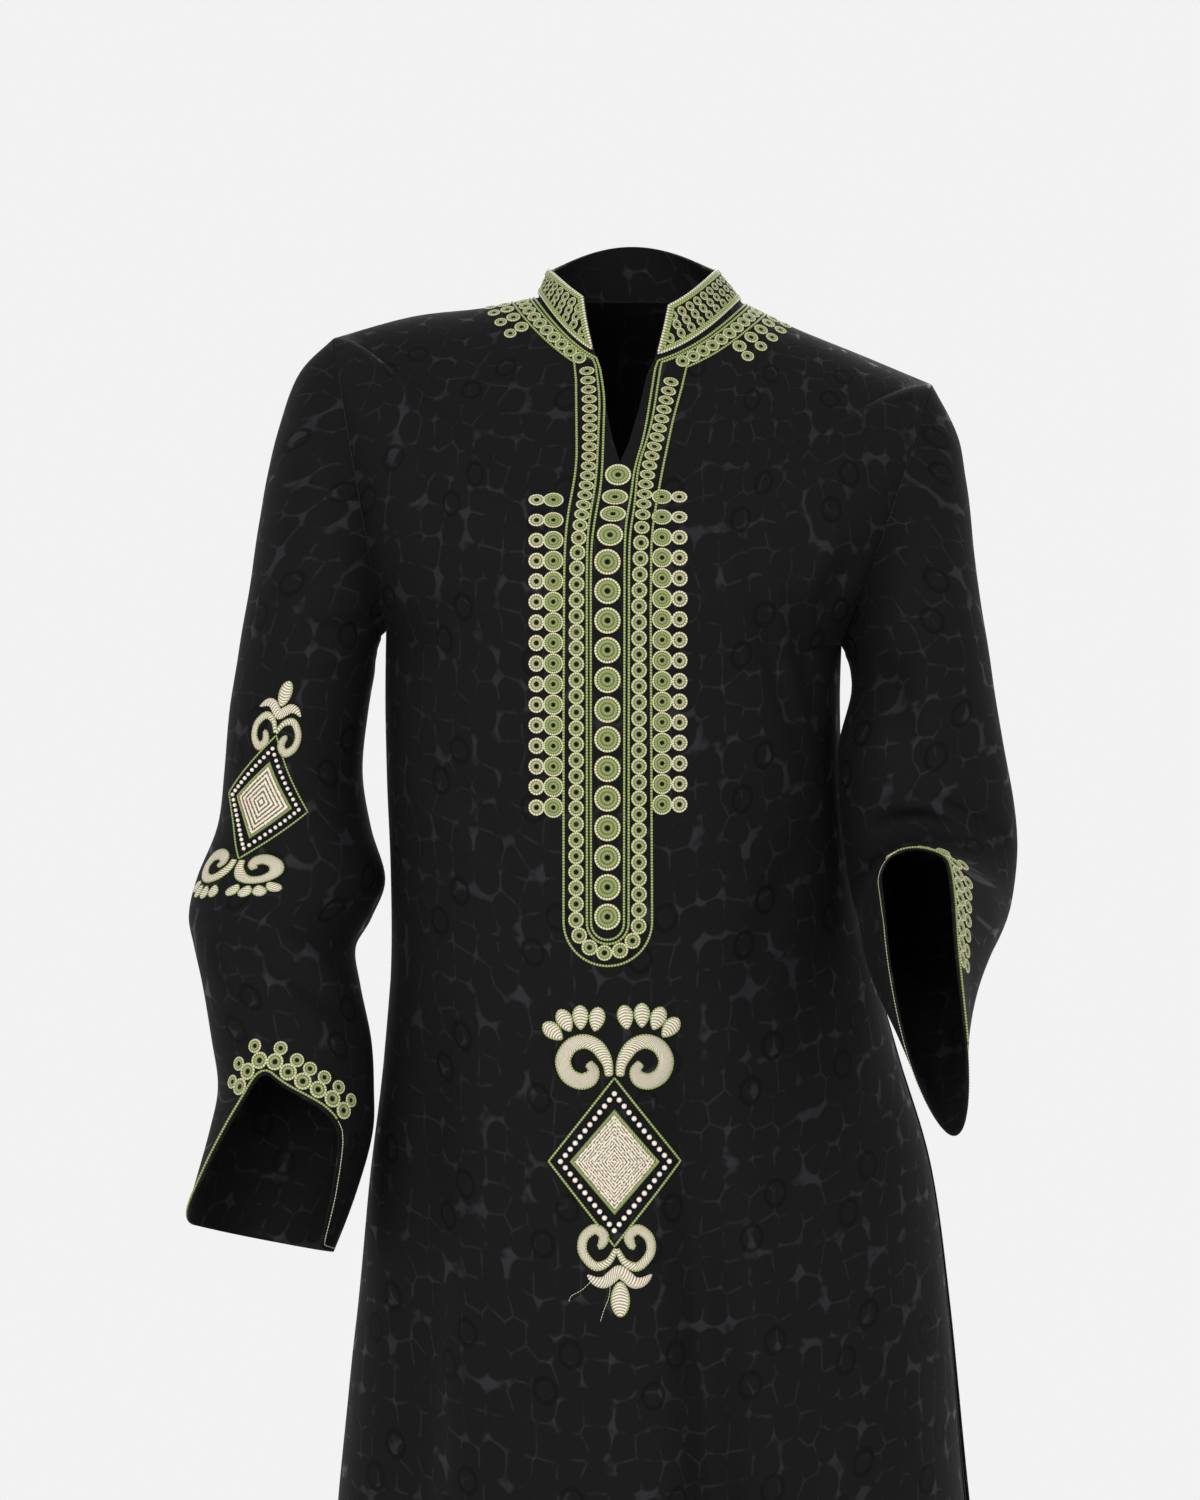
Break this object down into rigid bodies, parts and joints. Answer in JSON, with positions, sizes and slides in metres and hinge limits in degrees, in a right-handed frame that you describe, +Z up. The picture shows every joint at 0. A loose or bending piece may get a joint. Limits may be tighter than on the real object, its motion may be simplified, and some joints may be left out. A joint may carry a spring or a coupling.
{
  "type": "moroccan kaftan",
  "caption": "Black jacquard kaftan with stand collar, neck slit, bell cuffs and A-line skirt, embroidered in green and pale gold.",
  "frame": {"origin": "middle of the neck's base, level with the shoulders, where the wearer holds the kaftan up", "axes": "+Z up; the front faces -Y; the wearer's right sleeve is at -X and the left sleeve at +X"},
  "size_m": [0.6368, 0.4538, 1.4332],
  "materials": {
    "jacquard": "black jacquard with a satin ground between matt rounds",
    "green_thread": "green coiled cord and satin-stitch embroidery",
    "gold_thread": "pale gold thread embroidery with a soft metallic sheen"
  },
  "bodies": {
    "root": {"front": "jacquard", "back": "jacquard", "right_sleeve": "jacquard", "left_sleeve": "jacquard", "stand_collar": "jacquard", "yoke_embroidery": "green_thread", "placket_embroidery": "green_thread", "right_roundel_block": "gold_thread", "left_roundel_block": "gold_thread", "front_lozenge": "gold_thread", "right_sleeve_lozenge": "gold_thread", "left_sleeve_lozenge": "gold_thread"}
  },
  "joints": []
}
